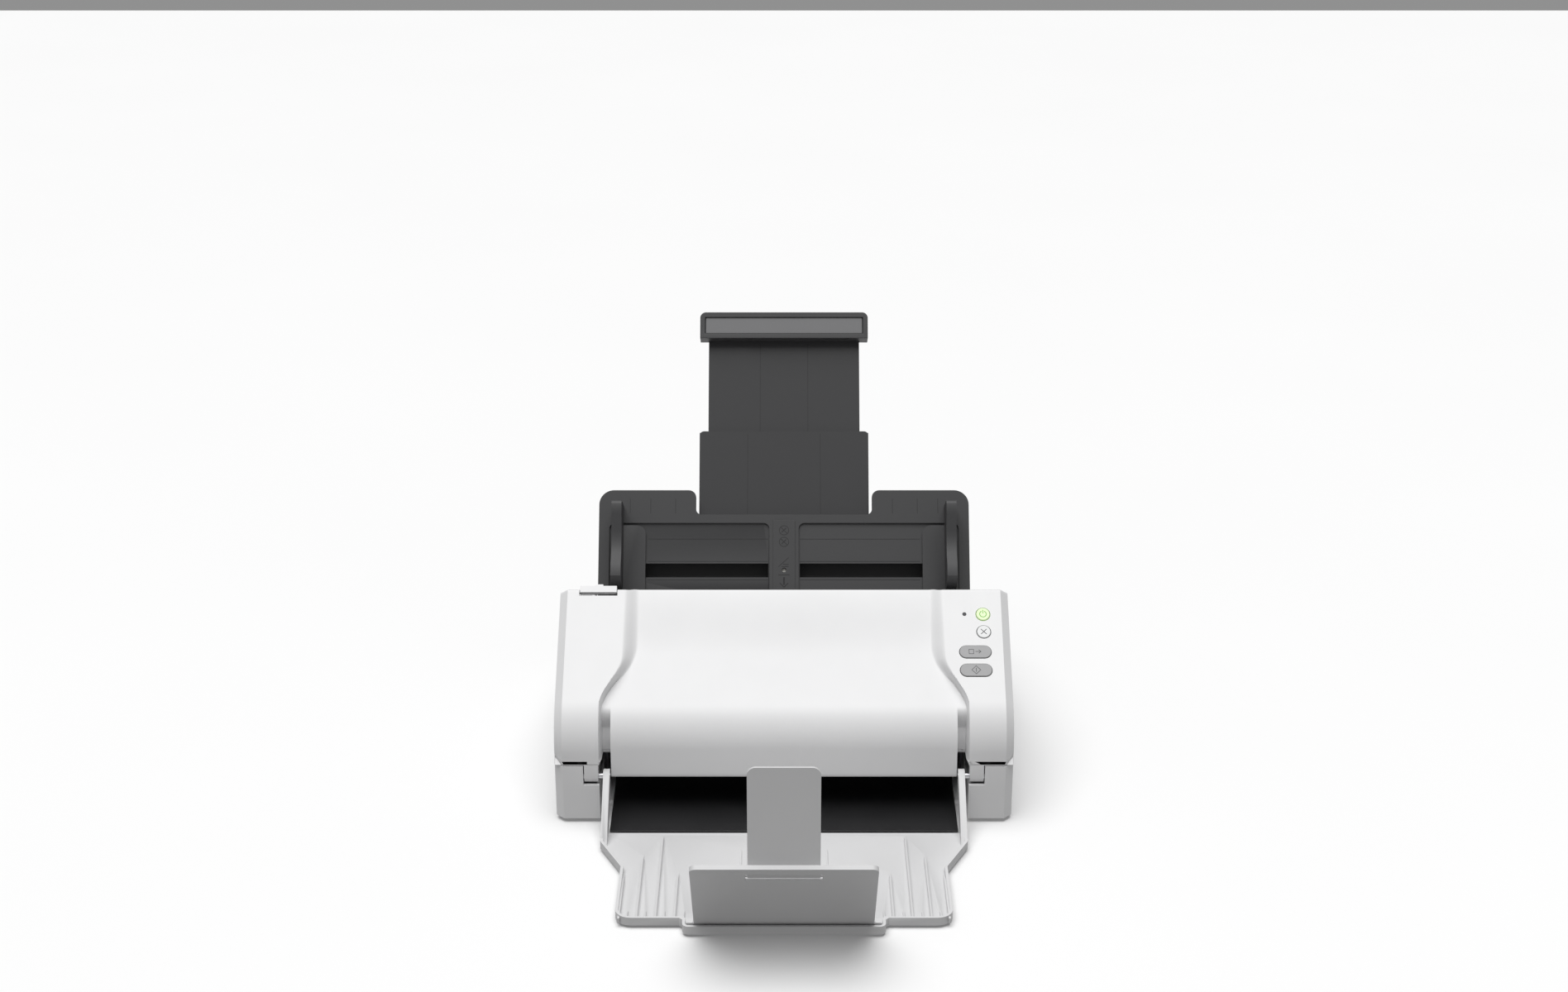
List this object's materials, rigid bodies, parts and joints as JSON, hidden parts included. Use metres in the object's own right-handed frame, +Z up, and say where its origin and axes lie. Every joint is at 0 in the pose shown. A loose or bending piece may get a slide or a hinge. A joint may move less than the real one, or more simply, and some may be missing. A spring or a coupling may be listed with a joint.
{
  "type": "sheet fed document scanner",
  "caption": "Desktop sheet fed document scanner with an opening front cover, upright feed tray with sliding guides and extension, and a fold-out output tray.",
  "frame": {"origin": "middle of the bounding box at the surface the feet stand on", "axes": "+X to the right as seen from the front, +Y to the back, +Z up"},
  "size_m": [0.299, 0.4072, 0.2844],
  "materials": {
    "white_shell": "fine matte texture",
    "tray_plastic": "fine matte texture",
    "black_plastic": "fine matte texture",
    "inner_plastic": "satin",
    "grey_button": "satin",
    "white_button": "satin",
    "green_button": "lit, satin",
    "gear_plastic": "satin",
    "rubber": "matte",
    "steel": "satin",
    "glass": "polished",
    "board": "solder mask"
  },
  "bodies": {
    "base": {"base_case": "white_shell", "left_rear_case": "white_shell", "right_rear_case": "white_shell", "back_panel": "black_plastic", "rear_hump": "black_plastic", "exit_chute": "inner_plastic", "left_side_frame": "steel", "right_side_frame": "steel", "scan_frame": "inner_plastic", "rear_image_sensor": "inner_plastic", "rear_glass": "glass", "main_board": "board", "usb_port": "steel", "usb_host_port": "steel", "dc_inlet": "inner_plastic", "hinge_pins": "steel", "feet": "rubber", "case_screws": "steel", "drive_motor": "steel", "feed_tray": "black_plastic"},
    "cover": {"front_cover": "white_shell", "cover_frame": "inner_plastic", "front_image_sensor": "inner_plastic", "front_glass": "glass", "button_board": "board", "status_led": "glass"},
    "tray": {"output_tray": "tray_plastic"},
    "stop": {"paper_stop": "tray_plastic"},
    "flap": {"stop_flap": "tray_plastic"},
    "feed_drive": {"feed_shaft": "steel", "feed_rollers": "rubber", "feed_gear": "gear_plastic"},
    "pick_drive": {"pick_shaft": "steel", "pick_rollers": "rubber", "pick_gear": "gear_plastic"},
    "eject_drive": {"eject_shaft": "steel", "eject_rollers": "rubber", "eject_gear": "gear_plastic"},
    "idler_a": {"idler_gear_a": "gear_plastic"},
    "idler_b": {"idler_gear_b": "gear_plastic"},
    "motor_rotor": {"motor_pinion": "steel"},
    "separation": {"separation_roller": "rubber"},
    "feed_pinch": {"feed_pinch_rollers": "rubber"},
    "eject_pinch": {"eject_pinch_rollers": "rubber"},
    "power": {"power_button": "green_button"},
    "stop_key": {"stop_button": "white_button"},
    "scan_key": {"scan_button": "grey_button"},
    "start_key": {"start_button": "grey_button"},
    "lever": {"release_lever": "white_shell"},
    "guide_l": {"left_guide": "black_plastic"},
    "guide_r": {"right_guide": "black_plastic"},
    "pinion": {"guide_pinion": "gear_plastic"},
    "lower_ext": {"lower_extension": "black_plastic"},
    "upper_ext": {"upper_extension": "black_plastic", "extension_grip": "black_plastic"}
  },
  "joints": [
    {"name": "cover_hinge", "type": "hinge", "parent": "base", "child": "cover", "pos_m": [0, -0.0129, 0.0325], "axis": [1, 0, 0], "range_deg": [0, 55]},
    {"name": "tray_hinge", "type": "hinge", "parent": "base", "child": "tray", "pos_m": [0, -0.0129, 0.0325], "axis": [1, 0, 0], "range_deg": [-90, 0]},
    {"name": "stop_hinge", "type": "hinge", "parent": "tray", "child": "stop", "pos_m": [0, -0.14889, 0.0059], "axis": [1, 0, 0], "range_deg": [-80, 0]},
    {"name": "flap_hinge", "type": "hinge", "parent": "stop", "child": "flap", "pos_m": [0, -0.19475, 0.06676], "axis": [1, 0, 0], "range_deg": [-143, 0]},
    {"name": "pick_spin", "type": "hinge", "parent": "base", "child": "pick_drive", "pos_m": [0, 0.07718, 0.09092], "axis": [1, 0, 0], "continuous": true},
    {"name": "feed_spin", "type": "hinge", "parent": "base", "child": "feed_drive", "pos_m": [0, 0.06486, 0.07746], "axis": [1, 0, 0], "continuous": true},
    {"name": "eject_spin", "type": "hinge", "parent": "base", "child": "eject_drive", "pos_m": [0, 0.04569, 0.04794], "axis": [1, 0, 0], "continuous": true},
    {"name": "idler_a_spin", "type": "hinge", "parent": "base", "child": "idler_a", "pos_m": [0, 0.08064, 0.07532], "axis": [1, 0, 0], "continuous": true},
    {"name": "idler_b_spin", "type": "hinge", "parent": "base", "child": "idler_b", "pos_m": [0, 0.05528, 0.0627], "axis": [1, 0, 0], "continuous": true},
    {"name": "motor_spin", "type": "hinge", "parent": "base", "child": "motor_rotor", "pos_m": [0, 0.09272, 0.06748], "axis": [1, 0, 0], "continuous": true},
    {"name": "separation_spin", "type": "hinge", "parent": "cover", "child": "separation", "pos_m": [0, 0.061, 0.10143], "axis": [1, 0, 0], "continuous": true},
    {"name": "feed_pinch_spin", "type": "hinge", "parent": "cover", "child": "feed_pinch", "pos_m": [0, 0.05455, 0.08416], "axis": [1, 0, 0], "continuous": true},
    {"name": "eject_pinch_spin", "type": "hinge", "parent": "cover", "child": "eject_pinch", "pos_m": [0, 0.03537, 0.05464], "axis": [1, 0, 0], "continuous": true},
    {"name": "power_press", "type": "slide", "parent": "cover", "child": "power", "axis": [0, 0.6198, -0.7848], "range_m": [0, 0.001], "stiffness_N_per_m": 400, "springref_m": -0.001},
    {"name": "stop_press", "type": "slide", "parent": "cover", "child": "stop_key", "axis": [0, 0.6198, -0.7848], "range_m": [0, 0.001], "stiffness_N_per_m": 400, "springref_m": -0.001},
    {"name": "scan_press", "type": "slide", "parent": "cover", "child": "scan_key", "axis": [0, 0.6198, -0.7848], "range_m": [0, 0.001], "stiffness_N_per_m": 400, "springref_m": -0.001},
    {"name": "start_press", "type": "slide", "parent": "cover", "child": "start_key", "axis": [0, 0.6198, -0.7848], "range_m": [0, 0.001], "stiffness_N_per_m": 400, "springref_m": -0.001},
    {"name": "lever_slide", "type": "slide", "parent": "cover", "child": "lever", "axis": [0, 0.7848, 0.6198], "range_m": [0, 0.004], "stiffness_N_per_m": 400, "springref_m": -0.001},
    {"name": "left_guide_slide", "type": "slide", "parent": "base", "child": "guide_l", "axis": [1, 0, 0], "range_m": [0, 0.0838]},
    {"name": "right_guide_slide", "type": "slide", "parent": "base", "child": "guide_r", "axis": [1, 0, 0], "range_m": [-0.0838, 0]},
    {"name": "pinion_spin", "type": "hinge", "parent": "base", "child": "pinion", "pos_m": [0, 0.09304, 0.13261], "axis": [0, -0.8387, 0.5446], "range_deg": [-605, 0]},
    {"name": "lower_slide", "type": "slide", "parent": "base", "child": "lower_ext", "axis": [0, 0.5446, 0.8387], "range_m": [-0.058, 0]},
    {"name": "upper_slide", "type": "slide", "parent": "lower_ext", "child": "upper_ext", "axis": [0, 0.5446, 0.8387], "range_m": [-0.064, 0]}
  ],
  "couplings": [
    {"joint": "feed_spin", "follows": "pick_spin", "ratio": 1},
    {"joint": "eject_spin", "follows": "pick_spin", "ratio": 1},
    {"joint": "idler_a_spin", "follows": "pick_spin", "ratio": -0.66667},
    {"joint": "idler_b_spin", "follows": "pick_spin", "ratio": -0.57143},
    {"joint": "motor_spin", "follows": "pick_spin", "ratio": 1.3333},
    {"joint": "right_guide_slide", "follows": "left_guide_slide", "ratio": -1},
    {"joint": "pinion_spin", "follows": "left_guide_slide", "rad_per_m": -125}
  ]
}
